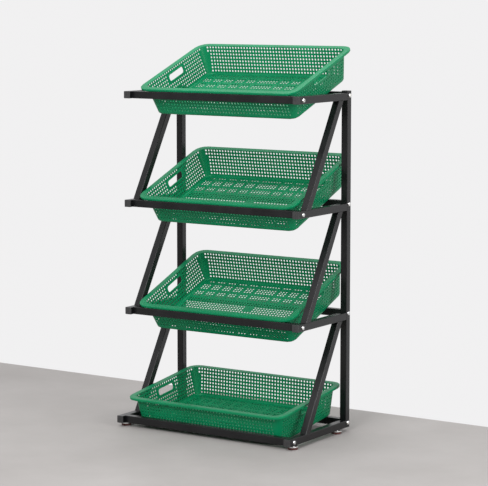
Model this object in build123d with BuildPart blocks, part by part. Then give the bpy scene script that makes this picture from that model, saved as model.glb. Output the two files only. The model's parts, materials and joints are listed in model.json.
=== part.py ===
from build123d import *
import math
import os

# A produce display rack: two welded side frames of square tube, eight bolted
# cross bars and four loose perforated baskets, on four levelling feet.
# Millimetres. +X is the viewer's right, +Y runs to the back, +Z is up.

# Driving sizes of the frame. Its width and depth follow from the baskets, by the
# gap at each end of a basket and by how far a basket's floor is longer than the
# space between the front and rear bars of an upper tier.
basket_side_gap = 11.0
floor_overhang = 78.0
bottom_arm_extra = 52.0
tier_count = 4
tier_pitch = 378.0
bar_setback = 13.0
# Each rear bar stands a little above its tier's arms, lowest tier first
rear_bar_rises = [3.5, 9.5, 9.5, 3.5]
post_rise = 5.5
brace_front_gap = 49.0
brace_rear_gap = 27.0

# Square tube, and the caps and blocks that fit inside it
tube = 25.0
tube_wall = 1.5
tube_corner = 2.2
plug_clearance = 0.2
cap_plate = 2.0
cap_edge = 0.7
cap_bolt_gap = 1.5
cap_mark = 6.0
cap_mark_depth = 0.5

# Bolts that hold the cross bars, and the threaded blocks in the bar ends
bolt_diameter = 8.0
bolt_head = 14.0
bolt_head_height = 4.4
bolt_dome_share = 0.8
bolt_socket = 5.8
bolt_socket_depth = 2.4
bolt_grip = 16.0
bolt_clearance = 0.25
bar_block = 20.0

# Levelling feet
foot_rear_inset = 43.0
foot_bolt_clearance = 0.5
foot_stem = 8.0
foot_stem_length = 20.0
foot_hub = 15.0
foot_hub_height = 1.8
foot_disc = 37.0
foot_disc_height = 3.6
foot_disc_edge = 1.2
foot_pad = 34.0
foot_pad_height = 8.0
foot_pad_edge = 1.5
foot_nut = 12.0
foot_nut_height = 14.0

# Basket, measured square to its own rim
basket_length = 642.0
basket_depth = 420.0
basket_height = 109.0
basket_wall = 2.5
wall_lean = 16.0
rim_width = 18.0
rim_thickness = 2.5
rim_corner = 42.0
lip_height = 8.0
lip_wall = 2.2
floor_corner = 14.0
floor_edge = 9.0
slot_length = 90.0
slot_height = 23.0
slot_corner = 9.0
slot_drop = 30.0
bottom_basket_tilt = 7.3
# Each loose basket lies a share of the side gap off the middle, lowest first
basket_shift_shares = [-0.3, -0.4, 0.0, 0.5]

# Running gaps
seat_gap = 0.3
cut_overrun = 5.0

# Turns that the two sums below which settle an angle are given
settling_turns = 40

# Plan of a basket's walls at the rim and at the floor, and their slope
wall_length = basket_length - 2 * rim_width
wall_depth = basket_depth - 2 * rim_width
floor_length = wall_length - 2 * wall_lean
floor_depth = wall_depth - 2 * wall_lean
wall_slope = wall_lean / basket_height

# What differs from tier to tier, lowest first
tiers = range(tier_count)
top_tier = tier_count - 1
basket_shifts = [basket_side_gap * basket_shift_shares[tier % len(basket_shift_shares)] for tier in tiers]
bar_rises = [rear_bar_rises[tier % len(rear_bar_rises)] for tier in tiers]

# Width and depth of the frame
rack_width = basket_length + 2 * (basket_side_gap + tube)
arm_length = floor_depth - floor_overhang + bar_setback + tube

# Levels. The floor is at zero and the pads stand on it.
foot_height = foot_pad_height + foot_disc_height + foot_hub_height + seat_gap
half_tube = tube / 2
tube_bore = tube - 2 * tube_wall
bore_corner = tube_corner - tube_wall
plug_width = tube_bore - 2 * plug_clearance
# A cap's plug ends above the bolt that crosses the top of the post
cap_plug = post_rise + half_tube - bar_rises[top_tier] - bolt_diameter / 2 - cap_bolt_gap
half_width = rack_width / 2
tube_x = half_width - half_tube
bar_length = rack_width - 2 * tube
arm_tops = [foot_height + tube + tier * tier_pitch for tier in tiers]
post_foot = arm_tops[0] - tube
post_length = arm_tops[top_tier] + post_rise - post_foot

# Places along Y, counted from the front ends of the upper arms for now
front_bar_back = bar_setback + tube
bottom_bar_back = front_bar_back - bottom_arm_extra


def turned(across, up, tilt):
    """Turn a basket's own depth and height into the rack's Y and Z."""
    angle = math.radians(tilt)
    return (
        across * math.cos(angle) - up * math.sin(angle),
        across * math.sin(angle) + up * math.cos(angle),
    )


def wall_height_at_bar(bar_back, tilt, rise):
    """Height on the front wall, from the rim, that faces the front bar's back
    edge while the floor of the basket bears on the rear bar's front edge."""
    angle = math.radians(tilt)
    reach = (arm_length - bar_back) * math.sin(angle)
    return reach - rise * math.cos(angle) - basket_height - seat_gap


def wall_place(height):
    """Depth of the front wall's outer face at a height counted from the rim."""
    return -wall_depth / 2 - wall_slope * height - seat_gap


def lip_gap(tilt, rise):
    """How far the front lip clears the front bar's top at a given tilt."""
    angle = math.radians(tilt)
    height = wall_height_at_bar(front_bar_back, tilt, rise)
    across = -basket_depth / 2 - wall_place(height)
    return across * math.sin(angle) - (lip_height + height) * math.cos(angle) - seat_gap


def settled_tilt(rise):
    """Tilt at which an upper basket's front lip comes down on the front bar."""
    flat_tilt, steep_tilt = 0.0, 45.0
    for turn in range(settling_turns):
        tilt = (flat_tilt + steep_tilt) / 2
        if lip_gap(tilt, rise) > 0:
            flat_tilt = tilt
        else:
            steep_tilt = tilt
    return tilt


def rim_centre(bar_back, tilt, rise):
    """Y and Z of the rim's middle, Z counted from the top of the tier's arms."""
    height = wall_height_at_bar(bar_back, tilt, rise)
    across, up = turned(wall_place(height), height, tilt)
    return bar_back - across, -up


basket_tilts = [settled_tilt(rise) if tier else bottom_basket_tilt for tier, rise in enumerate(bar_rises)]
bar_backs = [front_bar_back if tier else bottom_bar_back for tier in tiers]
rim_centres = [rim_centre(*seat) for seat in zip(bar_backs, basket_tilts, bar_rises)]

# The origin stands on the floor below the middle of the whole rack
floor_backs = [turned(floor_depth / 2, -basket_height, tilt)[0] for tilt in basket_tilts]
lip_front = turned(-basket_depth / 2, -lip_height / 2, bottom_basket_tilt)[0]
rack_back = max(centre[0] + back for centre, back in zip(rim_centres, floor_backs))
rack_front = min(rim_centres[0][0] + lip_front, -bottom_arm_extra - cap_plate)
arm_front = -(rack_front + rack_back) / 2
bottom_arm_front = arm_front - bottom_arm_extra
post_front = arm_front + arm_length
post_y = post_front + half_tube

os.makedirs("parts", exist_ok=True)
sides = {"left": -1, "right": 1}


def arm_front_of(tier):
    return bottom_arm_front if tier == 0 else arm_front


def front_bar_y(tier):
    return arm_front_of(tier) + bar_setback + half_tube


def front_bar_z(tier):
    return arm_tops[tier] - half_tube


def rear_bar_z(tier):
    return arm_tops[tier] + bar_rises[tier] - half_tube


# Bolt centres as (Y, Z), seen from the side of the rack
front_bolt_points = [(front_bar_y(tier), front_bar_z(tier)) for tier in tiers]
rear_bolt_points = [(post_y, rear_bar_z(tier)) for tier in tiers]
# A front foot's stem stands just behind the bolt that crosses the same arm
foot_behind_bolt = (bolt_diameter + foot_nut) / 2 + foot_bolt_clearance
foot_points_y = {
    "front": front_bar_y(0) + foot_behind_bolt,
    "rear": post_front - foot_rear_inset,
}

# Looking square at the right-hand side of the rack, from its middle plane
middle_side = Plane(origin=(0, 0, 0), x_dir=(0, 1, 0), z_dir=(1, 0, 0))
bolt_bore = bolt_diameter / 2 + bolt_clearance


def tube_section():
    """Draw the hollow square section in the sketch that is open."""
    RectangleRounded(tube, tube, tube_corner)
    RectangleRounded(tube_bore, tube_bore, bore_corner, mode=Mode.SUBTRACT)


def bolt_holes(points):
    """Cut bolt holes through both walls of the tube that is open."""
    with BuildSketch(middle_side) as holes:
        with Locations(*points):
            Circle(bolt_bore)
    extrude(holes.sketch, amount=rack_width, both=True, mode=Mode.SUBTRACT)


# Posts, with a hole through both side walls for each rear bar's bolt
for side, sign in sides.items():
    with BuildPart() as post:
        with BuildSketch(Plane.XY.offset(post_foot)):
            with Locations((sign * tube_x, post_y)):
                tube_section()
        extrude(amount=post_length)
        bolt_holes(rear_bolt_points)
    post.part.label = f"{side}_post"
    export_step(post.part, f"parts/{side}_post.step")

# Arms, four on each post. The bottom pair is longer and takes the feet.
for side, sign in sides.items():
    for tier in tiers:
        start = arm_front_of(tier)
        centre = (sign * tube_x, start, front_bar_z(tier))
        with BuildPart() as arm:
            with BuildSketch(Plane(origin=centre, x_dir=(1, 0, 0), z_dir=(0, 1, 0))):
                tube_section()
            extrude(amount=post_front - start)
            bolt_holes([front_bolt_points[tier]])
            if tier == 0:
                with BuildSketch(Plane.XY.offset(post_foot - cut_overrun)):
                    with Locations(*[(sign * tube_x, y) for y in foot_points_y.values()]):
                        Circle(foot_stem / 2 + bolt_clearance)
                extrude(amount=cut_overrun + half_tube, mode=Mode.SUBTRACT)
        arm.part.label = f"{side}_arm_{tier + 1}"
        export_step(arm.part, f"parts/{side}_arm_{tier + 1}.step")

# Diagonal braces. The ends are cut level to lie on one arm and under the next.
brace_rise = tier_pitch - tube
brace_space = arm_length - brace_front_gap - brace_rear_gap


def brace_cut(angle):
    """Length of the level cut across the tube at this slope."""
    return tube / math.sin(angle)


# The slope and the cut depend on each other, so they are settled in a few turns
brace_angle = math.atan2(brace_rise, brace_space)
for turn in range(settling_turns):
    brace_angle = math.atan2(brace_rise, brace_space - brace_cut(brace_angle))
brace_run = brace_rise / math.tan(brace_angle)
wall_cut = tube_wall / math.sin(brace_angle)


def brace_outline(foot, inset, overrun):
    """Side view of the brace, or of its bore when it has an inset."""
    lean = overrun / math.tan(brace_angle)
    low = foot - overrun
    high = foot + brace_rise + overrun
    front = arm_front + brace_front_gap + inset - lean
    back = arm_front + brace_front_gap + brace_cut(brace_angle) - inset - lean
    run = brace_run + 2 * lean
    Polygon((front, low), (back, low), (back + run, high), (front + run, high), align=None)


for side, sign in sides.items():
    for tier in range(top_tier):
        side_face = Plane(origin=(sign * tube_x, 0, 0), x_dir=(0, 1, 0), z_dir=(1, 0, 0))
        with BuildPart() as brace:
            with BuildSketch(side_face):
                brace_outline(arm_tops[tier], 0, 0)
            extrude(amount=half_tube, both=True)
            upright_edges = brace.edges().filter_by(Axis.X, reverse=True)
            fillet(upright_edges.filter_by(Axis.Y, reverse=True), radius=tube_corner)
            with BuildSketch(side_face):
                brace_outline(arm_tops[tier], wall_cut, cut_overrun)
            extrude(amount=tube_bore / 2, both=True, mode=Mode.SUBTRACT)
        brace.part.label = f"{side}_brace_{tier + 1}"
        export_step(brace.part, f"parts/{side}_brace_{tier + 1}.step")

# Cross bars between the arms at the front and between the posts at the back
bar_start = Plane(origin=(-bar_length / 2, 0, 0), x_dir=(0, 1, 0), z_dir=(1, 0, 0))
for name, points in {"front": front_bolt_points, "rear": rear_bolt_points}.items():
    for tier, point in enumerate(points):
        with BuildPart() as bar:
            with BuildSketch(bar_start):
                with Locations(point):
                    tube_section()
            extrude(amount=bar_length)
        bar.part.label = f"{name}_bar_{tier + 1}"
        export_step(bar.part, f"parts/{name}_bar_{tier + 1}.step")

# Threaded blocks pressed into the bar ends, and the domed bolts that they take
bar_end = middle_side.offset(bar_length / 2)
outer_face = middle_side.offset(half_width)
for name, points in {"front": front_bolt_points, "rear": rear_bolt_points}.items():
    with BuildPart() as blocks:
        with BuildSketch(bar_end):
            with Locations(*points):
                RectangleRounded(plug_width, plug_width, bore_corner)
                Circle(bolt_bore, mode=Mode.SUBTRACT)
        extrude(amount=-bar_block)
        mirror(about=Plane.YZ)
    blocks.part.label = f"{name}_bar_blocks"
    export_step(blocks.part, f"parts/{name}_bar_blocks.step")

    with BuildPart() as bolts:
        with BuildSketch(outer_face):
            with Locations(*points):
                Circle(bolt_head / 2)
        extrude(amount=bolt_head_height)
        fillet(bolts.edges().group_by(Axis.X)[-1], radius=bolt_head_height * bolt_dome_share)
        with BuildSketch(outer_face):
            with Locations(*points):
                Circle(bolt_diameter / 2)
        extrude(amount=-(tube + bolt_grip))
        with BuildSketch(outer_face.offset(bolt_head_height)):
            with Locations(*points):
                RegularPolygon(bolt_socket / 2, 6)
        extrude(amount=-bolt_socket_depth, mode=Mode.SUBTRACT)
        mirror(about=Plane.YZ)
    bolts.part.label = f"{name}_bolts"
    export_step(bolts.part, f"parts/{name}_bolts.step")


def height_over(plane):
    """Key that sorts faces by the height of their centres over a plane."""
    return lambda face: plane.to_local_coords(face.center()).Z


def tube_cap(mouth):
    """Plastic cap that closes a tube whose open end lies in the given plane."""
    with BuildPart() as cap:
        with BuildSketch(mouth):
            RectangleRounded(tube, tube, tube_corner)
        extrude(amount=cap_plate)
        fillet(cap.faces().sort_by(height_over(mouth))[-1].edges(), radius=cap_edge)
        with BuildSketch(mouth):
            RectangleRounded(plug_width, plug_width, bore_corner)
        extrude(amount=-cap_plug)
        with BuildSketch(mouth.offset(cap_plate)):
            Circle(cap_mark / 2)
        extrude(amount=-cap_mark_depth, mode=Mode.SUBTRACT)
    return cap.part


for side, sign in sides.items():
    cap = tube_cap(Plane(origin=(sign * tube_x, post_y, post_foot + post_length)))
    cap.label = f"{side}_post_cap"
    export_step(cap, f"parts/{side}_post_cap.step")
    for tier in tiers:
        centre = (sign * tube_x, arm_front_of(tier), front_bar_z(tier))
        cap = tube_cap(Plane(origin=centre, x_dir=(1, 0, 0), z_dir=(0, -1, 0)))
        cap.label = f"{side}_arm_cap_{tier + 1}"
        export_step(cap, f"parts/{side}_arm_cap_{tier + 1}.step")

# Nuts welded inside the bottom arms, one over each foot
with BuildPart() as foot_nuts:
    with BuildSketch(Plane.XY.offset(post_foot + tube_wall)):
        with Locations(*[(tube_x, y) for y in foot_points_y.values()]):
            RegularPolygon(foot_nut / 2, 6, major_radius=False)
            Circle(foot_stem / 2 + bolt_clearance, mode=Mode.SUBTRACT)
    extrude(amount=foot_nut_height)
    mirror(about=Plane.YZ)
foot_nuts.part.label = "foot_nuts"
export_step(foot_nuts.part, "parts/foot_nuts.step")

# Levelling feet, screwed fully in: a steel stem and disc on a rubber pad
disc_foot = foot_pad_height
disc_top = disc_foot + foot_disc_height
for side, sign in sides.items():
    for end, y in foot_points_y.items():
        foot_place = (sign * tube_x, y)
        with BuildPart() as foot:
            with BuildSketch(Plane.XY.offset(disc_foot)):
                with Locations(foot_place):
                    Circle(foot_disc / 2)
            extrude(amount=foot_disc_height)
            fillet(foot.edges().group_by(Axis.Z)[-1], radius=foot_disc_edge)
            with BuildSketch(Plane.XY.offset(disc_top)):
                with Locations(foot_place):
                    Circle(foot_hub / 2)
            extrude(amount=foot_hub_height)
            with BuildSketch(Plane.XY.offset(disc_top)):
                with Locations(foot_place):
                    Circle(foot_stem / 2)
            extrude(amount=foot_hub_height + foot_stem_length)
        foot.part.label = f"{end}_{side}_foot"
        export_step(foot.part, f"parts/{end}_{side}_foot.step")

        with BuildPart() as pad:
            with BuildSketch(Plane.XY):
                with Locations(foot_place):
                    Circle(foot_pad / 2)
            extrude(amount=foot_pad_height)
            fillet(pad.edges().group_by(Axis.Z)[0], radius=foot_pad_edge)
        pad.part.label = f"{end}_{side}_pad"
        export_step(pad.part, f"parts/{end}_{side}_pad.step")

# Baskets. Walls lean outwards from the floor, and a lipped rim goes all round.
lean_angle = math.degrees(math.atan(wall_slope))
wall_across = basket_wall / math.cos(math.radians(lean_angle))


def leaning_block(rim, drop, skin, edge):
    """Solid with leaning sides from a floor up to the rim's top, its sides set
    in by a skin and its floor raised by the same wall."""
    inset = skin - wall_slope * (basket_height - drop)
    with BuildPart() as block:
        with BuildSketch(rim.offset(-drop)):
            RectangleRounded(floor_length - 2 * inset, floor_depth - 2 * inset, floor_corner - inset)
        extrude(amount=drop, taper=-lean_angle)
        fillet(block.faces().sort_by(height_over(rim))[0].edges(), radius=edge)
    return block.part


def basket(rim):
    """Basket whose rim's top lies in the given plane, centred on its origin."""
    body = leaning_block(rim, basket_height, 0, floor_edge)
    space = leaning_block(rim, basket_height - basket_wall, wall_across, floor_edge - basket_wall)
    ends = Plane(origin=rim.origin, x_dir=rim.y_dir, z_dir=rim.x_dir)
    with BuildPart() as shell:
        add(body)
        with BuildSketch(rim.offset(-rim_thickness)):
            RectangleRounded(basket_length, basket_depth, rim_corner)
        extrude(amount=rim_thickness)
        with BuildSketch(rim.offset(-lip_height)):
            RectangleRounded(basket_length, basket_depth, rim_corner)
            RectangleRounded(
                basket_length - 2 * lip_wall,
                basket_depth - 2 * lip_wall,
                rim_corner - lip_wall,
                mode=Mode.SUBTRACT,
            )
        extrude(amount=lip_height)
        add(space, mode=Mode.SUBTRACT)
        with BuildSketch(ends):
            with Locations((0, -slot_drop)):
                RectangleRounded(slot_length, slot_height, slot_corner)
        extrude(amount=basket_length, both=True, mode=Mode.SUBTRACT)
    return shell.part


for tier, (place_y, place_z) in enumerate(rim_centres):
    up_y, up_z = turned(0, 1, basket_tilts[tier])
    rim_plane = Plane(
        origin=(basket_shifts[tier], arm_front + place_y, arm_tops[tier] + place_z),
        x_dir=(1, 0, 0),
        z_dir=(0, up_y, up_z),
    )
    finished = basket(rim_plane)
    finished.label = f"basket_{tier + 1}"
    export_step(finished, f"parts/basket_{tier + 1}.step")
    print(finished.label, "tilt", round(basket_tilts[tier], 3), "rim", round(place_y, 2), round(place_z, 2))

print("arm front", round(arm_front, 3), "post front", round(post_front, 3), "arm tops", arm_tops)
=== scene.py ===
# %% [markdown]
# # A produce display rack
#
# Two side frames of black square tube, eight cross bars and four loose green
# baskets. The tubes, bolts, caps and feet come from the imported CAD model, whose
# shapes are right, and get their finish here. The baskets are made here, because
# their many small holes and thin walls are what the eye goes to.

# %% Load the frame
import json
import math

import bmesh
import bpy
from mathutils import Matrix, Vector


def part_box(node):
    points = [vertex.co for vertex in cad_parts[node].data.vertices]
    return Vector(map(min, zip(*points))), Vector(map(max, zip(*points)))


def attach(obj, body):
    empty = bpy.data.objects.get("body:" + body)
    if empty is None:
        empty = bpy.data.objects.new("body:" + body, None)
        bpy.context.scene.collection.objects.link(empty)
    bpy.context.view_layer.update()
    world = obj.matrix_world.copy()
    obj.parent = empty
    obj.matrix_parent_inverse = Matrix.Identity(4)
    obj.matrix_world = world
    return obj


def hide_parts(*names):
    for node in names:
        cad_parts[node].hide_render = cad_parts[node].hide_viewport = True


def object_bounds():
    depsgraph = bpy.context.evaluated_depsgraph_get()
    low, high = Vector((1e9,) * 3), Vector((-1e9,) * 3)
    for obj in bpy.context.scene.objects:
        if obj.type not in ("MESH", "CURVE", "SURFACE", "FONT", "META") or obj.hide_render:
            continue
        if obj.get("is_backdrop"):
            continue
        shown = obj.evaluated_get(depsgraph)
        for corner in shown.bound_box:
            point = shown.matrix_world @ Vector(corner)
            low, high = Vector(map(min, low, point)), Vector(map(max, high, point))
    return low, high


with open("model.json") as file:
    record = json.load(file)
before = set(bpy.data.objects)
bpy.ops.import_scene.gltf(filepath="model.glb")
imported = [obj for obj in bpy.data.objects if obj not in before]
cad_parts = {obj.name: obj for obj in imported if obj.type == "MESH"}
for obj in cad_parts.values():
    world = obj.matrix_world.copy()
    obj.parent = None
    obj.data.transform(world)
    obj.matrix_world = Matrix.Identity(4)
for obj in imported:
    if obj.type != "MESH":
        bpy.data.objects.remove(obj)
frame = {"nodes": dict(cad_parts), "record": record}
cad_box = [list(corner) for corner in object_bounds()]
print("CAD box", [[round(x, 4) for x in corner] for corner in cad_box])

# %% [markdown]
# ## The camera
#
# The rack was photographed from its front right, a little above the top basket,
# with a long lens that keeps the posts nearly parallel. Blender's camera could be
# aimed with a constraint, but the place and the two angles are known numbers, so
# they are set directly. A camera looks down its own -Z, so it is first stood up
# by a right angle less the angle that it looks down by.

# %% Camera
CAMERA_PLACE = (3.791, -5.728, 1.5167)
CAMERA_TURN = 0.582
CAMERA_DOWN = 0.116
CAMERA_LENS = 147.16
CAMERA_SHIFT = -0.04

camera = bpy.data.objects.new("camera", bpy.data.cameras.new("camera"))
camera.location = CAMERA_PLACE
camera.rotation_euler = (math.pi / 2 - CAMERA_DOWN, 0, CAMERA_TURN)
camera.data.lens = CAMERA_LENS
camera.data.sensor_width = 36.0
camera.data.sensor_fit = "HORIZONTAL"
camera.data.shift_y = CAMERA_SHIFT
camera.data.clip_end = 60
bpy.context.scene.collection.objects.link(camera)
bpy.context.scene.camera = camera
print("camera lens", round(CAMERA_LENS, 1), "mm")

# %% [markdown]
# ## Writing node trees as sums
#
# A material's maths could be wired node by node, but then nobody can read it.
# `Field` wraps one socket, and the Python operators on it add Math nodes, so a
# mask is written as it would be on paper. `add_node` makes any other node: its
# settings are set first, because some sockets only appear with them.

# %% Node helpers
class Field:
    """One socket of a node tree."""

    def __init__(self, tree, socket):
        self.tree = tree
        self.socket = socket

    def out(self, name):
        """Another output of the node that made this one."""
        sockets = [s for s in self.socket.node.outputs if s.name == name and s.enabled]
        return Field(self.tree, sockets[0])

    def maths(self, operation, *values):
        inputs = dict(enumerate(values))
        return add_node(self.tree, "ShaderNodeMath", {"operation": operation}, inputs)

    def __add__(self, other):
        return self.maths("ADD", self, other)

    def __sub__(self, other):
        return self.maths("SUBTRACT", self, other)

    def __rsub__(self, other):
        return self.maths("SUBTRACT", other, self)

    def __mul__(self, other):
        return self.maths("MULTIPLY", self, other)

    def __truediv__(self, other):
        return self.maths("DIVIDE", self, other)

    __radd__ = __add__
    __rmul__ = __mul__


def add_node(tree, kind, settings=None, inputs=None):
    """Add a node and return its first output in use. A list given to a socket is
    several links to it."""
    node = tree.nodes.new(kind)
    for name, value in (settings or {}).items():
        setattr(node, name, value)
    for name, value in (inputs or {}).items():
        socket = node.inputs[name]
        for part in value if isinstance(value, list) else [value]:
            if isinstance(part, Field):
                tree.links.new(part.socket, socket)
            else:
                socket.default_value = part
    outputs = [s for s in node.outputs if s.enabled]
    return Field(tree, outputs[0]) if outputs else node


print("node helpers ready")

# %% [markdown]
# ## The shape of a basket
#
# Each basket is one injection moulding in polypropylene: walls that lean outwards
# so that crates nest, a flat rim with a turned-down lip, a hand slot in each end,
# and a floor and walls that are a lattice of square holes for air and water.
#
# It could be cut from a solid with booleans, but nearly two thousand of them are
# slow and leave a torn mesh. Instead it is drawn as a cage: a single skin, the
# outer one, with an eight-cornered face wherever a hole goes. Each point carries
# an `inward` arrow to the inner skin, and Geometry Nodes turn that cage into a
# wall with real, chamfered holes. Sizes are in millimetres here, in the basket's
# own axes: u along it, v from front to back, w up from the top of the rim. A pair
# of numbers is one for the long walls and one for the ends.

# %% Basket sizes
MM = 0.001
WALL_HALF = (303.0, 192.0)
WALL_FLAT = (273.0, 162.0)
WALL_CORNER = 30.0
CORNER_EASE = 0.13  # what the corner's radius gains for each millimetre down
CORNER_TURNS = (24.0, 34.5, 45.0, 55.5, 66.0)  # where its arc has points, in degrees
LAST_TURN = 40.0  # how far round that arc the last column may lie
WALL_SLOPE = 16.0 / 109.0
SHEET = 2.5
RIM_UNDER = -2.5
HOLE_COLUMNS = (45, 27)
HOLE_ROWS = 8
HOLE_FIRST = -6.4
HOLE_STEP = 12.04
HOLE_MOUTH = 7.4  # the size that the cage has, before the nodes set the real one
HOLE_CLEAR = 6.1
HOLE_CHAMFER = 0.5
WELD = 0.02
lean = math.atan(WALL_SLOPE)
hole_heights = [HOLE_FIRST - HOLE_STEP * row for row in range(HOLE_ROWS)]
row_edges = [RIM_UNDER] + [height - HOLE_STEP / 2 for height in hole_heights]
side_columns = [
    [flat * (2 * k / count - 1) for k in range(count + 1)]
    for flat, count in zip(WALL_FLAT, HOLE_COLUMNS)
]
print("hole rows at", [round(height, 1) for height in hole_heights])

# %% [markdown]
# A cage is only lists of points, arrows and faces. There are three kinds of
# face: skin, which the nodes copy to the inside, mouth, which becomes a hole, and
# single, which has one side only, such as the rim.

# %% Cage
SKIN, MOUTH, SINGLE = 0, 1, 2


class Cage:
    def __init__(self):
        self.points = []
        self.arrows = []
        self.faces = []
        self.kinds = []

    def point(self, place, arrow=(0, 0, 0)):
        self.points.append(Vector(place))
        self.arrows.append(Vector(arrow))
        return len(self.points) - 1

    def face(self, corners, kind=SKIN):
        self.faces.append(list(corners))
        self.kinds.append(kind)

    def band(self, before, after):
        """Four-sided single faces between two closed loops of equal count."""
        for k in range(len(before)):
            n = (k + 1) % len(before)
            self.face((before[k], before[n], after[n], after[k]), SINGLE)

    def join(self, before, after, angle):
        """Three-sided faces between two closed loops of any count, which are
        walked together by the angle that each point is seen at."""
        loops = []
        for loop in (before, after):
            turns = [angle(self.points[index]) for index in loop]
            first = turns.index(min(turns))
            order = loop[first:] + loop[:first] + [loop[first]]
            turns = turns[first:] + turns[:first] + [turns[first] + math.tau]
            loops.append((order, turns))
        (a, turn_a), (b, turn_b) = loops
        i = j = 0
        while i < len(a) - 1 or j < len(b) - 1:
            ahead = j == len(b) - 1 or (i < len(a) - 1 and turn_a[i + 1] <= turn_b[j + 1])
            if ahead:
                self.face((a[i], a[i + 1], b[j]))
                i += 1
            else:
                self.face((a[i], b[j + 1], b[j]))
                j += 1

    def holed(self, corners, height=None):
        """A cell with a hole: an eight-cornered mouth and what is left round it."""
        a, b, c, d = [self.points[index] for index in corners]
        middle = (a + b + c + d) / 4
        across = ((b - a) + (c - d)).normalized()
        up = ((d - a) + (c - b)).normalized()
        if height is not None:
            middle += up * ((height - middle.z) / up.z)
        arrow = sum((self.arrows[index] for index in corners), Vector()) / 4
        half, along = HOLE_MOUTH / 2, HOLE_MOUTH / 3
        mouth = []
        for x, y in ((-1, -1), (1, -1), (1, 1), (-1, 1)):
            ends = [(x * half, y * along), (x * along, y * half)]
            for s, t in ends if x == y else reversed(ends):
                mouth.append(self.point(middle + across * s + up * t, arrow))
        self.face(mouth, MOUTH)
        for k in range(4):
            n = (k + 1) % 4
            out_of, into = mouth[2 * k + 1], mouth[(2 * k + 2) % 8]
            self.face((corners[k], corners[n], into, out_of))
            self.face((corners[k], out_of, mouth[2 * k]))


def corner_radius(grow, height):
    """The corners get rounder towards the floor."""
    return WALL_CORNER + grow - CORNER_EASE * height


def ring(grow, height, corner=None):
    """Points round the basket, seen anticlockwise from above, from the left end of
    the front wall: each side's columns, of which the last ones may already lie on
    the corner's arc, then the rest of that arc."""
    corner = corner_radius(grow, height) if corner is None else corner
    points = []
    for side in range(4):
        reach = WALL_HALF[1 - side % 2] + grow
        flat = WALL_HALF[side % 2] + grow - corner
        columns = side_columns[side % 2]
        last = min(max(flat, columns[-1]), flat + corner * math.sin(math.radians(LAST_TURN)))
        squeeze = min(last / columns[-1], 1)
        row = []
        for s in [-last] + [s * squeeze for s in columns[1:-1]] + [last]:
            over = max(abs(s) - flat, 0)
            row.append((s, corner - reach - math.sqrt(corner ** 2 - over ** 2)))
        begin = math.asin((last - flat) / corner)
        for degrees in CORNER_TURNS:
            turn = begin + (math.pi / 2 - 2 * begin) * degrees / 90
            x, y = corner * math.sin(turn), corner * math.cos(turn)
            row.append((flat + x, corner - reach - y))
        for x, y in row:
            for quarter in range(side):
                x, y = -y, x
            points.append(Vector((x, y, height)))
    return points


cage = Cage()
print("points in a ring", len(ring(0, 0)))

# %% [markdown]
# The walls are rings stacked from the rim down to the foot, one ring at each row's
# edge. A ring's own corner radius follows from how far it has grown and how low it
# lies, so the corners get rounder downwards, and the lowest rows' last holes are
# already on them. The foot is an arc from wall to base.

# %% Walls
FOOT_ROUND = 9.0
BASE = -109.0
FLOOR_TOP = -102.5
ARC_SHARES = (0.0, 0.25, 0.5, 0.75, 1.0)


def wall_pair(height):
    """Outer and inner skin of the wall, as growth and height."""
    grow = WALL_SLOPE * height
    return (grow, height), (grow - SHEET * math.cos(lean), height + SHEET * math.sin(lean))


def foot_arc(radius, base, share):
    """A point on the arc that rounds a skin into its base."""
    middle_height = base + radius
    middle = WALL_SLOPE * middle_height - FOOT_ROUND / math.cos(lean)
    turn = -lean - share * (math.pi / 2 - lean)
    return middle + radius * math.cos(turn), middle_height + radius * math.sin(turn)


levels = [wall_pair(height) for height in row_edges]
for share in ARC_SHARES:
    outer = foot_arc(FOOT_ROUND, BASE, share)
    levels.append((outer, foot_arc(FOOT_ROUND - SHEET, FLOOR_TOP, share)))
rings = []
for outer, inner in levels:
    pairs = zip(ring(*outer), ring(*inner))
    rings.append([cage.point(place, far - place) for place, far in pairs])

CORNER_STEPS = len(CORNER_TURNS) + 1
SLOT_ROWS = (1, 2, 3)
SLOT_COLUMNS = 9


def side_start(side):
    """Where a side's first point is in a ring."""
    return sum(HOLE_COLUMNS[k % 2] + CORNER_STEPS for k in range(side))


def cell_use(row, side, column):
    """What a wall cell is: plain, holed, or part of the hand slot's plate. The top
    row of holes goes on into the corners by one cell, and so does the second row
    of the long walls."""
    count = HOLE_COLUMNS[side % 2]
    if row >= HOLE_ROWS:
        return "plain"
    if column < count:
        middle = abs(column - count // 2) <= SLOT_COLUMNS // 2
        return "slot" if side % 2 and middle and row in SLOT_ROWS else "holed"
    long_side = side if column == count else side + 1
    by_corner = column in (count, count + CORNER_STEPS - 1)
    return "holed" if by_corner and (row == 0 or (row == 1 and long_side % 2 == 0)) else "plain"


for row in range(len(rings) - 1):
    for side in range(4):
        for column in range(HOLE_COLUMNS[side % 2] + CORNER_STEPS):
            k = side_start(side) + column
            n = (k + 1) % len(rings[0])
            corners = (rings[row + 1][k], rings[row + 1][n], rings[row][n], rings[row][k])
            use = cell_use(row, side, column)
            if use == "holed":
                cage.holed(corners, hole_heights[row])
            elif use == "plain":
                cage.face(corners)
print("wall holes", cage.kinds.count(MOUTH))

# %% [markdown]
# The hand slot is a rounded opening with a thick soft border on both sides, so
# that the edge doesn't cut the hand. Its border is a section carried round the
# slot's outline. A curve with a bevel could do that, but the border has to share
# its points with the wall, so the loops are laid one by one.

# %% Hand slots
SLOT_HALF = (45.0, 11.5)
SLOT_CORNER = 9.0
SLOT_MIDDLE = -30.4
# The border as distances out from the slot's edge and up from the wall.
BORDER = ((4.6, 0.0), (4.3, 0.8), (3.6, 1.2), (1.1, 1.4), (0.35, 1.1), (0.0, 0.4))
ARC_STEPS = 6


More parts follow.
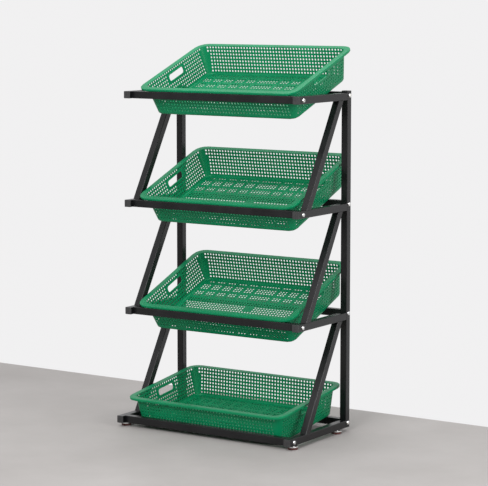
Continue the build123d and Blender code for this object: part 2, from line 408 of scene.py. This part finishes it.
def slot_outline(grow):
    """The slot's outline grown by a border, anticlockwise from outside."""
    points = []
    reach = SLOT_CORNER + grow
    for quarter, signs in enumerate(((1, -1), (1, 1), (-1, 1), (-1, -1))):
        x, y = [sign * (half - SLOT_CORNER) for sign, half in zip(signs, SLOT_HALF)]
        for step in range(ARC_STEPS + 1):
            turn = math.pi / 2 * (quarter - 1 + step / ARC_STEPS)
            points.append((x + reach * math.cos(turn), y + reach * math.sin(turn)))
    return points


for side in (1, 3):
    start = side_start(side) + (HOLE_COLUMNS[1] - SLOT_COLUMNS) // 2
    ends = (start, start + SLOT_COLUMNS)
    above, below = SLOT_ROWS[0], SLOT_ROWS[-1] + 1
    plate = [rings[below][k] for k in range(ends[0], ends[1])]
    plate += [rings[row][ends[1]] for row in range(below, above, -1)]
    plate += [rings[above][k] for k in range(ends[1], ends[0], -1)]
    plate += [rings[row][ends[0]] for row in range(above, below)]
    sign = 1 if side == 1 else -1
    along = Vector((0, sign, 0))
    out = Vector((sign * math.cos(lean), 0, -math.sin(lean)))
    up = out.cross(along)
    middle = Vector((sign * (WALL_HALF[0] + WALL_SLOPE * SLOT_MIDDLE), 0, SLOT_MIDDLE))
    section = list(BORDER) + [(grow, -SHEET - rise) for grow, rise in reversed(BORDER)]
    loops = []
    for grow, rise in section:
        places = [middle + along * s + up * t + out * rise for s, t in slot_outline(grow)]
        loops.append([cage.point(place, out * -SHEET) for place in places])

    def angle(place):
        offset = place - middle
        return math.atan2(offset.dot(up) / SLOT_HALF[1], offset.dot(along) / SLOT_HALF[0])

    cage.join(plate, loops[0], angle)
    for before, after in zip(loops, loops[1:]):
        cage.band(before, after)
print("slot loops", len(section), "of", len(slot_outline(0)), "points")

# %% [markdown]
# The rim is a section carried round the top: out along the underside, down and
# round the lip, back over the top and into the inner wall. Its outer corner is
# rounder than the wall's, so each ring is given its own corner radius.

# %% Rim
RIM_CORNER = 42.0
RIM_OUT = 18.0
# The section as growth past the wall and height.
RIM_SECTION = (
    (2.0, -2.5), (14.2, -2.5), (15.2, -2.8), (15.7, -3.6), (15.8, -6.8), (16.1, -7.6),
    (16.9, -8.0), (17.7, -7.7), (18.0, -6.9), (18.0, -1.8), (17.7, -0.7), (16.9, -0.1),
    (16.0, 0.0), (-1.0, 0.0), (-1.9, -0.15), (-2.45, -0.7), (-2.7, -1.4),
)
before = rings[0]
inner_top = levels[0][1]
for grow, height in RIM_SECTION + (inner_top,):
    share = min(max(grow / RIM_OUT, 0), 1)
    corner = corner_radius(grow, height) - share * (WALL_CORNER + RIM_OUT - RIM_CORNER)
    after = [cage.point(place) for place in ring(grow, height, corner)]
    cage.band(before, after)
    before = after
print("rim rings", len(RIM_SECTION))

# %% [markdown]
# The floor is a grid with its own spacing. Every fourth row has no holes, and nor
# has every fourth column outside the middle strip. Below each plain row runs a rib,
# so that the floor doesn't sag: grid lines close together, the inner two lowered to
# the base. At the floor's round corners the cells that don't fit are left out, so
# its outline is found from the cells that are kept: it is every edge that only one
# of them has.

# %% Floor
FLOOR_STEP = (11.69, 12.13)
FLOOR_HOLES = (47, 27)
FLOOR_UNDER = -103.7
FLOOR_REACH = (275.5, 164.5)
FLOOR_CORNER = 12.0
PLAIN_EVERY = 4
LAST_PLAIN = (20, 12)
MIDDLE_STRIP = 3.5 * FLOOR_STEP[1]
RIB_FOOT, RIB_TOP = 1.5, 2.0  # half of a rib's width at the base and at the floor
WHOLE_CELL = 0.9  # a cell narrower than this share of a step has no hole
NEAR = 0.01


def cell_edges(step, count):
    """Where the cells of a line of holes begin and end."""
    return [step * (k - count / 2) for k in range(count + 1)]


def plain_middles(step, last):
    """The middles of the plain rows or columns; the very middle one has holes."""
    return [step * k for k in range(-last, last + 1, PLAIN_EVERY) if k]


plain_columns, plain_rows = [plain_middles(*pair) for pair in zip(FLOOR_STEP, LAST_PLAIN)]
u_lines, v_lines = [
    cell_edges(step, count) + [-reach, reach]
    for step, count, reach in zip(FLOOR_STEP, FLOOR_HOLES, FLOOR_REACH)
]
u_lines.sort()
lowered = [middle + sign * RIB_FOOT for middle in plain_rows for sign in (-1, 1)]
v_lines += lowered + [middle + sign * RIB_TOP for middle in plain_rows for sign in (-1, 1)]
v_lines.sort()
grid = []
for u in u_lines:
    line = []
    for v in v_lines:
        height = BASE if v in lowered else FLOOR_UNDER
        line.append(cage.point((u, v, height), (0, 0, FLOOR_TOP - height)))
    grid.append(line)


def plain_cell(low, high, step, middles):
    """Whether a cell lies in a plain row or column, or outside the holes."""
    middle = (low + high) / 2
    whole = high - low > WHOLE_CELL * step
    return not whole or any(abs(middle - plain) < step / 2 for plain in middles)


def inside(corners):
    """Whether a floor cell lies inside the floor's round corners."""
    for index in corners:
        place = cage.points[index]
        over = [max(abs(x) - reach + FLOOR_CORNER, 0) for x, reach in zip(place, FLOOR_REACH)]
        if math.hypot(*over) > FLOOR_CORNER + NEAR:
            return False
    return True


SPOT_REACH = [1.5 * step for step in FLOOR_STEP]
sides = set()
for i, (u, next_u) in enumerate(zip(u_lines, u_lines[1:])):
    for j, (v, next_v) in enumerate(zip(v_lines, v_lines[1:])):
        corners = (grid[i][j], grid[i][j + 1], grid[i + 1][j + 1], grid[i + 1][j])
        if not inside(corners):
            continue
        sides.update(zip(corners, corners[1:] + corners[:1]))
        middle = abs(u + next_u) / 2, abs(v + next_v) / 2
        if middle[0] < SPOT_REACH[0] and middle[1] < SPOT_REACH[1]:
            continue
        columns = plain_columns if middle[1] > MIDDLE_STRIP else []
        by_column = plain_cell(u, next_u, FLOOR_STEP[0], columns)
        if by_column or plain_cell(v, next_v, FLOOR_STEP[1], plain_rows):
            cage.face(corners)
        else:
            cage.holed(corners)
following = {b: a for a, b in sides if (b, a) not in sides}
edge = [min(following)]
while following[edge[-1]] != edge[0]:
    edge.append(following[edge[-1]])


def floor_angle(place):
    return math.atan2(place.y / FLOOR_REACH[1], place.x / FLOOR_REACH[0])


cage.join(edge, rings[-1], floor_angle)
print("holes in all", cage.kinds.count(MOUTH))

# %% [markdown]
# In the middle of the floor is the round spot where the plastic was injected: a
# shallow disc with a small pit. It takes the place of the nine middle holes.

# %% Injection spot
# The spot as radii and heights above the floor.
SPOT = ((14.4, 0.0), (14.0, 0.6), (2.6, 0.6), (2.2, 0.1))
SPOT_STEPS = 24
SPOT_CELLS = 3
first_u, first_v = [
    next(k for k, line in enumerate(lines) if abs(line + reach) < NEAR)
    for lines, reach in zip((u_lines, v_lines), SPOT_REACH)
]
last_u, last_v = first_u + SPOT_CELLS, first_v + SPOT_CELLS
patch = [grid[first_u + k][first_v] for k in range(SPOT_CELLS)]
patch += [grid[last_u][first_v + k] for k in range(SPOT_CELLS)]
patch += [grid[last_u - k][last_v] for k in range(SPOT_CELLS)]
patch += [grid[first_u][last_v - k] for k in range(SPOT_CELLS)]


def circle(radius, height, arrow=(0, 0, 0)):
    turns = [math.tau * (k + 0.5) / SPOT_STEPS - math.pi for k in range(SPOT_STEPS)]
    places = [(radius * math.cos(turn), radius * math.sin(turn), height) for turn in turns]
    return [cage.point(place, arrow) for place in places]


under = circle(SPOT[0][0], FLOOR_UNDER, (0, 0, FLOOR_TOP - FLOOR_UNDER))
cage.join(under, patch, lambda place: math.atan2(place.y, place.x))
cage.face(under[::-1], SINGLE)
before = circle(SPOT[0][0], FLOOR_TOP)
for radius, rise in SPOT[1:]:
    after = circle(radius, FLOOR_TOP + rise)
    cage.band(before, after)
    before = after
cage.face(before, SINGLE)
print("cage faces", len(cage.faces))

# %% [markdown]
# ## From cage to moulding
#
# The node tree does to the whole cage what a mould does. It copies the skin along
# the arrows for the inside, and pushes each mouth through the sheet in three
# steps, narrowing in the first and widening in the last, which leaves a chamfer
# on both edges of each hole. Then everything is welded into one closed surface.
# The hole's size, its chamfer and the sheet's thickness are inputs.

# %% Perforation tree
def perforation_tree():
    tree = bpy.data.node_groups.new("perforated sheet", "GeometryNodeTree")
    face = tree.interface
    face.new_socket(name="Geometry", in_out="OUTPUT", socket_type="NodeSocketGeometry")
    face.new_socket(name="Geometry", in_out="INPUT", socket_type="NodeSocketGeometry")
    for name in ("Drawn mouth", "Hole", "Chamfer", "Sheet", "Weld"):
        face.new_socket(name=name, in_out="INPUT", socket_type="NodeSocketFloat")
    face.new_socket(name="Material", in_out="INPUT", socket_type="NodeSocketMaterial")
    given = add_node(tree, "NodeGroupInput")
    hole, chamfer, sheet = [given.out(name) for name in ("Hole", "Chamfer", "Sheet")]

    def attribute(name, kind):
        settings = {"data_type": kind}
        return add_node(tree, "GeometryNodeInputNamedAttribute", settings, {"Name": name})

    def kind_is(kind):
        settings = {"data_type": "INT", "operation": "EQUAL"}
        inputs = {2: attribute("kind", "INT"), 3: kind}
        return add_node(tree, "FunctionNodeCompare", settings, inputs)

    def scaled(geometry, chosen, size):
        inputs = {"Geometry": geometry, "Selection": chosen, "Scale": size}
        return add_node(tree, "GeometryNodeScaleElements", {"domain": "FACE"}, inputs)

    def without(geometry, chosen):
        inputs = {"Geometry": geometry, "Selection": chosen}
        return add_node(tree, "GeometryNodeDeleteGeometry", {"domain": "FACE"}, inputs)

    arrow = attribute("inward", "FLOAT_VECTOR")
    mouth, single = kind_is(MOUTH), kind_is(SINGLE)
    mouth_size = hole + chamfer * 2
    sized = scaled(given, mouth, mouth_size / given.out("Drawn mouth"))
    outer = without(sized, mouth)
    inputs = {"Geometry": without(outer, single), "Offset": arrow}
    moved = add_node(tree, "GeometryNodeSetPosition", {}, inputs)
    inner = add_node(tree, "GeometryNodeFlipFaces", {}, {"Mesh": moved})
    inputs = {"Geometry": sized, "Selection": mouth}
    bore = add_node(tree, "GeometryNodeSeparateGeometry", {"domain": "FACE"}, inputs)
    top = True
    for depth, size in (
        (chamfer, hole / mouth_size),
        (sheet - chamfer * 2, None),
        (chamfer, mouth_size / hole),
    ):
        inputs = {"Mesh": bore, "Selection": top, "Offset": arrow}
        inputs["Offset Scale"] = depth / sheet
        bore = add_node(tree, "GeometryNodeExtrudeMesh", {"mode": "FACES"}, inputs)
        top = bore.out("Top")
        if size is not None:
            bore = scaled(bore, top, size)
    bores = without(bore, top)
    whole = add_node(tree, "GeometryNodeJoinGeometry", {}, {"Geometry": [outer, inner, bores]})
    inputs = {"Geometry": whole, "Distance": given.out("Weld")}
    welded = add_node(tree, "GeometryNodeMergeByDistance", {}, inputs)
    real = add_node(tree, "GeometryNodeRealizeInstances", {}, {"Geometry": welded})
    inputs = {"Geometry": real, "Material": given.out("Material")}
    dressed = add_node(tree, "GeometryNodeSetMaterial", {}, inputs)
    add_node(tree, "NodeGroupOutput", {}, {"Geometry": dressed})
    return tree


perforated = perforation_tree()
print("perforation tree nodes", len(perforated.nodes))

# %% [markdown]
# ## Finishes
#
# One function starts each material: a Principled shader whose steady numbers are
# set on its own sockets, with only colour, roughness and bump varying. Patterns
# read Object coordinates, which stay put on the piece.

# %% Material helpers
def new_material(name, steady):
    material = bpy.data.materials.new(name)
    material.use_nodes = True
    tree = material.node_tree
    shader = tree.nodes["Principled BSDF"]
    for socket, value in steady.items():
        shader.inputs[socket].default_value = value
    place = add_node(tree, "ShaderNodeTexCoord").out("Object")
    return material, tree, shader, place


def noise(tree, place, scale, detail=2.0, rough=0.5):
    inputs = {"Vector": place, "Scale": scale, "Detail": detail, "Roughness": rough}
    return add_node(tree, "ShaderNodeTexNoise", {}, inputs)


def ramp(tree, value, low, high):
    """A value stretched so that low becomes 0 and high becomes 1."""
    inputs = {0: value, 1: low, 2: high}
    return add_node(tree, "ShaderNodeMapRange", {"clamp": True}, inputs)


def blend_colours(tree, share, first, second):
    inputs = {0: share, 6: first, 7: second}
    return add_node(tree, "ShaderNodeMix", {"data_type": "RGBA"}, inputs)


def wire(tree, shader, **fields):
    for name, field in fields.items():
        tree.links.new(field.socket, shader.inputs[name.replace("_", " ")])


def bump(tree, height, distance, strength):
    inputs = {"Height": height, "Distance": distance, "Strength": strength}
    return add_node(tree, "ShaderNodeBump", {}, inputs)


print("material helpers ready")

# %% [markdown]
# The baskets are coloured all through, so scuffs don't change the colour much.
# The mould's fine spark texture makes them satin, with slow patches of slightly
# lighter and darker green where the plastic cooled at different speeds.

# %% Green plastic
def green_plastic():
    steady = {"Specular IOR Level": 0.2, "IOR": 1.49}
    material, tree, shader, place = new_material("basket green", steady)
    slow = ramp(tree, noise(tree, place, scale=9.0, detail=3.0), low=0.35, high=0.65)
    spark = noise(tree, place, scale=900.0, rough=0.6)
    along_wall = {"Vector": place, "Scale": (30, 500, 120)}
    scuff_place = add_node(tree, "ShaderNodeMapping", {}, along_wall)
    scratches = noise(tree, scuff_place, scale=1.0, detail=4.0, rough=0.65)
    scuffs = ramp(tree, scratches, low=0.66, high=0.8)
    body = blend_colours(tree, slow, (0.002, 0.205, 0.082, 1), (0.003, 0.240, 0.099, 1))
    worn = blend_colours(tree, scuffs * 0.2, body, (0.04, 0.38, 0.2, 1))
    wire(tree, shader, Base_Color=worn, Roughness=0.36 + slow * 0.06 + scuffs * 0.15)
    wire(tree, shader, Normal=bump(tree, spark, distance=0.0001, strength=0.35))
    return material


green = green_plastic()
print("made", green.name)

# %% [markdown]
# Powder coat is a baked plastic skin. Where it flows together it keeps a faint
# orange-peel ripple, a few millimetres across, with a few pale specks and, in broad
# patches, a thin film of dust.

# %% Powder coat
def powder_coat():
    steady = {"Specular IOR Level": 0.36, "IOR": 1.5}
    material, tree, shader, place = new_material("black powder coat", steady)
    dust = ramp(tree, noise(tree, place, scale=14.0, detail=3.0), low=0.4, high=0.7)
    peel = noise(tree, place, scale=420.0, detail=1.5, rough=0.4)
    specks = ramp(tree, noise(tree, place, scale=1500.0, detail=1.0), low=0.62, high=0.75)
    body = blend_colours(tree, dust, (0.0042, 0.0042, 0.0050, 1), (0.0072, 0.0070, 0.0080, 1))
    flecked = blend_colours(tree, specks * 0.2, body, (0.05, 0.05, 0.052, 1))
    wire(tree, shader, Base_Color=flecked, Roughness=0.30 + dust * 0.08 + specks * 0.05)
    wire(tree, shader, Normal=bump(tree, peel, distance=0.0004, strength=0.25))
    return material


coat = powder_coat()
print("made", coat.name)

# %% [markdown]
# The caps in the tube ends are moulded plastic: duller than the coat, a little
# greyer, with a fine grain.

# %% Cap plastic
def cap_plastic():
    material, tree, shader, place = new_material("cap plastic", {"IOR": 1.49})
    grain = noise(tree, place, scale=1300.0, detail=3.0, rough=0.6)
    slow = ramp(tree, noise(tree, place, scale=60.0), low=0.3, high=0.7)
    body = blend_colours(tree, slow, (0.026, 0.026, 0.027, 1), (0.036, 0.036, 0.037, 1))
    wire(tree, shader, Base_Color=body, Roughness=0.46 + slow * 0.08)
    wire(tree, shader, Normal=bump(tree, grain, distance=0.0002, strength=0.4))
    return material


caps = cap_plastic()
print("made", caps.name)

# %% [markdown]
# Bolts, feet and nuts are zinc plated. Bright zinc is a metal with a soft blue to
# straw cast, and small dull clouds where it has been handled.

# %% Zinc
def zinc_plate():
    material, tree, shader, place = new_material("zinc plate", {"Metallic": 1.0})
    clouds = ramp(tree, noise(tree, place, scale=160.0, detail=3.0), low=0.35, high=0.7)
    grain = noise(tree, place, scale=2200.0)
    body = blend_colours(tree, clouds, (0.80, 0.82, 0.85, 1), (0.74, 0.72, 0.66, 1))
    wire(tree, shader, Base_Color=body, Roughness=0.2 + clouds * 0.14)
    wire(tree, shader, Normal=bump(tree, grain, distance=0.00005, strength=0.3))
    return material


zinc = zinc_plate()
print("made", zinc.name)

# %% [markdown]
# The pads under the feet are dark red-brown rubber, dull and slightly dusty, with
# fine rings left by the mould.

# %% Rubber
RING_TURNS = 5200.0


def foot_rubber():
    steady = {"Specular IOR Level": 0.35}
    material, tree, shader, place = new_material("foot rubber", steady)
    height = add_node(tree, "ShaderNodeSeparateXYZ", {}, {0: place}).out("Z")
    turn = height * RING_TURNS
    mould_rings = turn.maths("SINE", turn)
    powder = noise(tree, place, scale=320.0, detail=4.0, rough=0.6)
    dust = ramp(tree, powder, low=0.4, high=0.75)
    body = blend_colours(tree, dust, (0.085, 0.018, 0.016, 1), (0.16, 0.085, 0.075, 1))
    wire(tree, shader, Base_Color=body, Roughness=0.68 + dust * 0.15)
    wire(tree, shader, Normal=bump(tree, mould_rings, distance=0.0003, strength=0.5))
    return material


rubber = foot_rubber()
print("made", rubber.name)

# %% [markdown]
# The CAD nodes keep their shapes. Their finish is set slot by slot from what the
# record says each node is made of.

# %% Dress the CAD nodes
finishes = {
    "black_powder_coat": coat,
    "black_cap_plastic": caps,
    "zinc_plated_steel": zinc,
    "foot_rubber": rubber,
    "green_basket_plastic": green,
}
slot_of = {part["node"]: part["material_slot"] for part in frame["record"]["subparts"]}
for name, node in frame["nodes"].items():
    for slot in node.material_slots:
        slot.material = finishes[slot_of[name]]
print("dressed", len(frame["nodes"]), "nodes")

# %% [markdown]
# ## Baskets in place
#
# The cage becomes a mesh with its arrows and kinds as attributes, and the tree
# makes the moulding. A moulding with an open edge would be torn, so they are
# counted: there must be none.

# %% Mould one basket
def cage_object():
    mesh = bpy.data.meshes.new("basket cage")
    mesh.from_pydata([point * MM for point in cage.points], [], cage.faces)
    arrows = mesh.attributes.new("inward", "FLOAT_VECTOR", "POINT")
    arrows.data.foreach_set("vector", [x * MM for arrow in cage.arrows for x in arrow])
    kinds = mesh.attributes.new("kind", "INT", "FACE")
    kinds.data.foreach_set("value", cage.kinds)
    made = bpy.data.objects.new("basket cage", mesh)
    bpy.context.scene.collection.objects.link(made)
    return made


def moulded(source, values):
    """The mesh that the perforation tree makes of a cage."""
    modifier = source.modifiers.new("perforation", "NODES")
    modifier.node_group = perforated
    for item in perforated.interface.items_tree:
        if item.in_out == "INPUT" and item.name in values:
            modifier[item.identifier] = values[item.name]
    bpy.context.view_layer.update()
    seen = source.evaluated_get(bpy.context.evaluated_depsgraph_get())
    mesh = bpy.data.meshes.new_from_object(seen)
    bpy.data.objects.remove(source)
    return mesh


source = cage_object()
values = {
    "Drawn mouth": HOLE_MOUTH * MM,
    "Hole": HOLE_CLEAR * MM,
    "Chamfer": HOLE_CHAMFER * MM,
    "Sheet": SHEET * MM,
    "Weld": WELD * MM,
    "Material": green,
}
moulding = moulded(source, values)
for name in ("inward", "kind"):
    if name in moulding.attributes:
        moulding.attributes.remove(moulding.attributes[name])
check = bmesh.new()
check.from_mesh(moulding)
loose = [edge for edge in check.edges if len(edge.link_faces) != 2]
volume = check.calc_volume(signed=True)
triangles = sum(len(face.verts) - 2 for face in check.faces)
check.free()
print("open edges", len(loose), "volume cm3", round(volume * 1e6, 1), "triangles", triangles)

# %% [markdown]
# Each basket lies loose on the bars of its tier, by its own tilt and a few
# millimetres off the middle. One object could be shared and turned four times, but
# each is an own copy that is turned and moved in its mesh, so that its object stays
# at the origin, as those of the CAD nodes do.

# %% Place the four baskets
SHARP_ANGLE = 32
BASKETS = {
    "basket_1": ((-3.3, -22.356, 132.574), 7.3),
    "basket_2": ((-4.4, 28.597, 502.417), 21.8005),
    "basket_3": ((0.0, 28.597, 880.417), 21.8005),
    "basket_4": ((5.5, 30.5, 1254.598), 20.6658),
}
moulding.set_sharp_from_angle(angle=math.radians(SHARP_ANGLE))
for node, (place, tilt) in BASKETS.items():
    mesh = moulding.copy()
    mesh.name = node + "_moulding"
    turn = Matrix.Rotation(math.radians(tilt), 4, "X")
    mesh.transform(Matrix.Translation(Vector(place) * MM) @ turn)
    basket = bpy.data.objects.new(node + "_moulding", mesh)
    bpy.context.scene.collection.objects.link(basket)
    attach(basket, node)
    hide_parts(node)
    low = [min(v.co[k] for v in mesh.vertices) for k in range(3)]
    print(node, "lowest corner", [round(x, 4) for x in low])
    print("  in the CAD model", [round(x, 4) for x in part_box(node)[0]])

# %% [markdown]
# ## Floor and light
#
# The rack stands on a pale floor, which turns white behind it. One wide plane
# does both, so that nothing stands in the way when the rack is seen from behind.
# The white is a glow of strength 1 for what is looked at, straight, in a mirror or
# through something clear. It could come from more lamps, but they would bleach the
# rack too, so the rays that gather light on a dull surface don't see that glow.

# %% Floor
FLOOR_SIZE = 60.0
FLOOR_TURNS_WHITE = 0.47
SOFT_EDGE = 0.004
BACKDROP = (0.88, 0.875, 0.88, 1)


def looked_at(tree):
    """1 for what the camera sees, straight or in a mirror, and 0 for what lights."""
    ray = add_node(tree, "ShaderNodeLightPath")
    seen = ray.maths("MAXIMUM", ray, ray.out("Is Glossy Ray"))
    return seen.maths("MAXIMUM", seen, ray.out("Is Transmission Ray"))


def floor_material():
    steady = {"Specular IOR Level": 0.2}
    material, tree, shader, place = new_material("studio floor", steady)
    depth = add_node(tree, "ShaderNodeSeparateXYZ", {}, {0: place}).out("Y")
    low, high = FLOOR_TURNS_WHITE - SOFT_EDGE, FLOOR_TURNS_WHITE + SOFT_EDGE
    behind = ramp(tree, depth, low, high)
    mottle = noise(tree, place, scale=2.2, detail=5.0, rough=0.6)
    clouds = ramp(tree, mottle, low=0.3, high=0.7)
    near = blend_colours(tree, clouds, (0.375, 0.355, 0.345, 1), (0.44, 0.42, 0.41, 1))
    wire(tree, shader, Base_Color=near, Roughness=0.62 + clouds * 0.1)
    glow = add_node(tree, "ShaderNodeEmission", {}, {"Color": BACKDROP, "Strength": 1.0})
    surface = Field(tree, shader.outputs["BSDF"])
    inputs = {0: behind * looked_at(tree), 1: surface, 2: glow}
    mixed = add_node(tree, "ShaderNodeMixShader", {}, inputs)
    tree.links.new(mixed.socket, tree.nodes["Material Output"].inputs["Surface"])
    return material


plane = bpy.data.meshes.new("studio floor")
half = FLOOR_SIZE / 2
corners = [(-half, -half, 0), (half, -half, 0), (half, half, 0), (-half, half, 0)]
plane.from_pydata(corners, [], [(0, 1, 2, 3)])
plane.materials.append(floor_material())
floor = bpy.data.objects.new("studio_floor", plane)
bpy.context.scene.collection.objects.link(floor)
floor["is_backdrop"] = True
print("floor", FLOOR_SIZE, "m")

# %% [markdown]
# The light is that of a plain studio: pale from all round, with one large soft lamp
# high in front, and two weaker ones, above the rack and at its right end.

# %% Lights
SURROUND_COLOUR = (0.93, 0.93, 0.94, 1)
SURROUND_LIGHT = 0.44


def soft_lamp(name, place, target, size, power):
    lamp = bpy.data.lights.new(name, "AREA")
    lamp.shape = "DISK"
    lamp.size = size
    lamp.energy = power
    made = bpy.data.objects.new(name, lamp)
    made.location = place
    aim = Vector(target) - Vector(place)
    made.rotation_euler = aim.to_track_quat("-Z", "Y").to_euler()
    bpy.context.scene.collection.objects.link(made)


soft_lamp("key", place=(0.4, -3.9, 3.2), target=(0, 0, 0.7), size=2.6, power=150)
soft_lamp("side", place=(3.9, -0.6, 1.9), target=(0, 0, 0.8), size=2.2, power=82)
soft_lamp("top", place=(-0.6, 0.8, 4.6), target=(0, 0, 0.6), size=2.6, power=80)

world = bpy.data.worlds.new("studio")
bpy.context.scene.world = world
world.use_nodes = True
surround = world.node_tree
inputs = {"Color": SURROUND_COLOUR, "Strength": SURROUND_LIGHT}
lit = add_node(surround, "ShaderNodeBackground", {}, inputs)
inputs = {"Color": BACKDROP, "Strength": 1.0}
backdrop = add_node(surround, "ShaderNodeBackground", {}, inputs)
inputs = {0: looked_at(surround), 1: lit, 2: backdrop}
both = add_node(surround, "ShaderNodeMixShader", {}, inputs)
surround.links.new(both.socket, surround.nodes["World Output"].inputs["Surface"])
bpy.context.scene.view_settings.view_transform = "Standard"

# %% [markdown]
# ## The finished size
#
# The box of the finished model is printed, like the CAD model's box at the start.

# %% Sizes and finish
seen_box = [list(corner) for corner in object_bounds()]
print("visual box", [[round(x, 4) for x in corner] for corner in seen_box])
